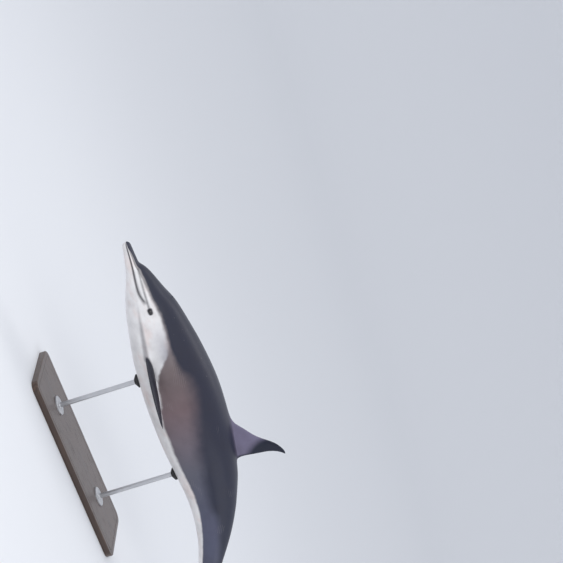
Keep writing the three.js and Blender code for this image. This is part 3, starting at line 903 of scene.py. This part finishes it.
# %% Fins
dorsal, flipper, fluke, chord = (coat.mark(name) for name in ("dorsal", "flipper", "fluke", "chord"))
panel = (chord + dorsal * 4.4 + drift * 3).fade(2.6, 2.0) * chord.fade(1.0, 0.9)
fin_colour = coat.mix(panel, FIN_DARK, FIN_PALE)
# A pale lilac band along the back at the fin's foot. Partly the fin panel's tone carried down onto the body,
# partly painted fill light that lifts the shade in the concave crease there.
foot = height.fade(0.984, 0.998) * along.fade(0.455, 0.495) * along.fade(0.6, 0.565)
base = coat.mix(foot * 0.35, base, FIN_FOOT_TONE_AND_FILL)
base = coat.mix(dorsal.fade(0.0, 0.14), base, fin_colour)
base = coat.mix(flipper.fade(0.0, 0.16), base, FLIPPER_DARK)
base = coat.mix(fluke.fade(0.0, 0.2), base, FLUKE_DARK)

# %% Scratches, spots and clouds
bands = coat.node(
    "ShaderNodeTexWave", {"wave_type": "BANDS", "bands_direction": "Z"},
    {"Vector": coat.spot(turn=(0, 0.5, 0)), "Scale": 34, "Distortion": 2.5, "Detail": 2, "Detail Scale": 0.4},
)
rakes = bands.fade(0.97, 1.0) * coat.noise(7, 1, at=coat.spot((1, 1, 1.8))).fade(0.66, 0.72)
rakes = rakes * along.fade(0.2, 0.3) * flipper.fade(0.1, 0) * fluke.fade(0.1, 0)
from_spot = coat.node("ShaderNodeTexVoronoi", {}, {"Vector": coat.spot(), "Scale": 34}, "Distance")
spots = from_spot.fade(0.1, 0.05) * coat.noise(3.3).fade(0.56, 0.66)
clouds = coat.noise(14, 5)
base = coat.mix(rakes * 0.35, base, SCAR)
base = coat.mix(spots * 0.25, base, SPOT)
base = coat.mix(clouds.fade(0.35, 0.75) * 0.16, base, STAIN)
coat.give("Base Color", base)

# %% Wet gloss and the finest relief
wetness = coat.noise(22, 4, at=coat.spot((0.35, 1, 1)))
coat.give("Roughness", 0.36 + wetness * 0.16 + clouds * 0.06)
ridges = coat.noise(420, 2, at=coat.spot((3.5, 1, 1))) * 0.05
swell = coat.noise(26, 2, at=coat.spot((0.6, 1, 1)))
coat.relief(swell + ridges + rakes * -0.2, 0.0006)
skin.data.materials.append(coat.material)

# %% [markdown]
# ## Eye, wood, steel and rubber
# The eye is nearly black with a brown iris that only shows close up. The board is stained oak under satin
# lacquer: long rings bent by noise, with short dark pores. The steel is brushed round its length, and the
# rubber is matt.

# %% Eye
wet_eye = Paint("wet_eye", Coat_Weight=1.0, Coat_Roughness=0.02, IOR=1.38)
gaze_x, gaze_y = wet_eye.mark("gaze_across"), wet_eye.mark("gaze_up")
reach = (gaze_x**2 + gaze_y**2) ** 0.5
pupil = ((gaze_x / 0.4) ** 2 + (gaze_y / 0.27) ** 2).fade(1.15, 0.85)
streaks = wet_eye.noise(900, 2)
iris = wet_eye.mix(streaks, colour(26, 18, 14), colour(46, 31, 23))
rim = wet_eye.mix(reach.fade(0.5, 0.64), iris, colour(22, 18, 18))
ball_colour = wet_eye.mix(reach.fade(0.66, 0.78), rim, colour(66, 54, 52))
wet_eye.give("Base Color", wet_eye.mix(pupil, ball_colour, colour(6, 6, 8)))
wet_eye.give("Roughness", 0.12 + streaks * 0.08)
for side in ("left", "right"):
    bpy.data.objects[f"eyeball_{side}"].data.materials.append(wet_eye.material)

# %% Stained oak
oak = Paint("stained_oak", Coat_Weight=0.35, Coat_Roughness=0.18)
grain_at = oak.spot((0.35, 4.0, 4.0), (0.02, 0.01, 0.03))
rings = oak.node(
    "ShaderNodeTexWave", {"wave_type": "RINGS", "rings_direction": "X"},
    {
        "Vector": grain_at, "Scale": 5.5, "Distortion": 7,
        "Detail": 3, "Detail Scale": 0.9, "Detail Roughness": 0.6,
    },
)
pores = oak.noise(260, 2, at=oak.spot((0.05, 1, 1))).fade(0.56, 0.7)
wood = oak.mix(rings, colour(58, 42, 34), colour(88, 66, 52))
wood = oak.mix(oak.noise(3, 2) * 0.5, wood, colour(70, 50, 40))
oak.give("Base Color", oak.mix(pores * 0.6, wood, colour(34, 25, 21)))
oak.give("Roughness", 0.34 + pores * 0.2 + rings * 0.05)
oak.relief(rings * 0.3 - pores, 0.0003)
stand_board.data.materials.append(oak.material)

# %% Brushed steel and rubber
steel = Paint("brushed_steel", Metallic=1.0)
hairlines = steel.noise(900, 2, at=steel.spot((1, 1, 14)))
smudges = steel.noise(18, 3)
steel.give("Base Color", steel.mix(smudges, colour(186, 187, 190), colour(206, 206, 208)))
steel.give("Roughness", 0.26 + hairlines * 0.14 + smudges * 0.08)
steel.relief(hairlines, 0.00006)
rubber = Paint("soft_rubber", Specular_IOR_Level=0.35)
dust = rubber.noise(60, 4)
rubber.give("Base Color", rubber.mix(dust, colour(38, 38, 40), colour(60, 59, 60)))
rubber.give("Roughness", 0.62 + dust * 0.2)
rubber.relief(rubber.noise(900, 2), 0.0001)
for piece in stand_metal:
    piece.data.materials.append(steel.material)
for piece in stand_pads:
    piece.data.materials.append(rubber.material)
print("finishes", ", ".join(material.name for material in bpy.data.materials if material.users))

# %% [markdown]
# ## Studio
# The floor is a wide pale disc whose rim curves up into a wall, so no horizon line shows behind the
# animal. A big soft light ahead of the animal and above its left side gives the form, a weaker one fills
# from behind its left flank, and a long panel overhead draws the gleam along the back.

# %% Floor and backdrop in one sweep
FLOOR_RADIUS, SWEEP_RADIUS, WALL_TOP, ARC_STEPS = 14.0, 3.0, 5.0, 12
sweep = bmesh.new()
profile = [Vector((0, 0, 0)), Vector((FLOOR_RADIUS, 0, 0))]
for i in range(1, ARC_STEPS + 1):
    turn = math.radians(90 * i / ARC_STEPS)
    outside, rise = SWEEP_RADIUS * math.sin(turn), SWEEP_RADIUS * (1 - math.cos(turn))
    profile.append(Vector((FLOOR_RADIUS + outside, 0, rise)))
profile.append(Vector((FLOOR_RADIUS + SWEEP_RADIUS, 0, WALL_TOP)))
line = [sweep.verts.new(point) for point in profile]
edges = [sweep.edges.new(pair) for pair in zip(line, line[1:])]
bmesh.ops.spin(
    sweep, geom=line + edges, cent=(0, 0, 0), axis=UP, angle=math.tau, steps=96, use_merge=True,
)
bmesh.ops.remove_doubles(sweep, verts=sweep.verts, dist=WELD * 10)
bmesh.ops.recalc_face_normals(sweep, faces=sweep.faces)
bmesh.ops.reverse_faces(sweep, faces=sweep.faces)
floor_mesh = bpy.data.meshes.new("studio_floor")
sweep.to_mesh(floor_mesh)
sweep.free()
floor_mesh.shade_smooth()
floor = bpy.data.objects.new("studio_floor", floor_mesh)
bpy.context.scene.collection.objects.link(floor)
floor.data.materials.append(Paint("studio_floor", Base_Color=(0.8, 0.81, 0.83, 1), Roughness=0.75).material)
print("floor", FLOOR_RADIUS, "m to where it curves up")

# %% Camera
AZIMUTH, ELEVATION, ROLL = 158.0, 8.0, 72.5
LENS, SENSOR, FRAME_WIDTH = 135.0, 36.0, 2.62
BEAK_ACROSS, BEAK_UP = -0.724, 0.184  # where the beak's tip shows, in metres from the middle of the frame
a, e, roll = (math.radians(angle) for angle in (AZIMUTH, ELEVATION, ROLL))
away = Vector((math.sin(a) * math.cos(e), -math.cos(a) * math.cos(e), math.sin(e)))
level_right = Vector(UP).cross(away).normalized()
level_up = away.cross(level_right)
right = level_right * math.cos(roll) + level_up * math.sin(roll)
up = level_up * math.cos(roll) - level_right * math.sin(roll)
aim = place(0) - right * BEAK_ACROSS - up * BEAK_UP
eye_point = aim + away * FRAME_WIDTH * LENS / SENSOR
camera = bpy.data.objects.new("camera", bpy.data.cameras.new("camera"))
camera.data.lens, camera.data.sensor_width = LENS, SENSOR
camera.data.clip_end = 100
camera.matrix_world = Matrix.Translation(eye_point) @ Matrix((right, up, away)).transposed().to_4x4()
bpy.context.scene.collection.objects.link(camera)
bpy.context.scene.camera = camera
print("camera", short_numbers(eye_point, 2), "aims at", short_numbers(aim, 2))


# %% Lights
def soft_light(name, spot, target, width, depth, power):
    lamp = bpy.data.lights.new(name, "AREA")
    lamp.shape, lamp.size, lamp.size_y = "RECTANGLE", width, depth
    lamp.energy = power
    holder = bpy.data.objects.new(name, lamp)
    facing = (Vector(target) - Vector(spot)).to_track_quat("-Z", "Y")
    holder.matrix_world = Matrix.Translation(spot) @ facing.to_matrix().to_4x4()
    bpy.context.scene.collection.objects.link(holder)


soft_light("key", (3.0, 4.5, 4.2), (0.2, 0, 0.6), 3.5, 3.5, 110)
soft_light("fill", (-4.0, 3.0, 2.0), (0, 0, 0.6), 3.0, 2.5, 25)
soft_light("overhead", (0.2, -1.2, 4.5), (0, 0, 0.7), 4.0, 1.4, 30)
world = bpy.data.worlds.new("studio")
world.use_nodes = True
world.node_tree.nodes["Background"].inputs["Color"].default_value = (0.9, 0.93, 1.0, 1)
world.node_tree.nodes["Background"].inputs["Strength"].default_value = 0.85
bpy.context.scene.world = world
bpy.context.scene.view_settings.view_transform = "Standard"
print("lights", ", ".join(light.name for light in bpy.data.lights))
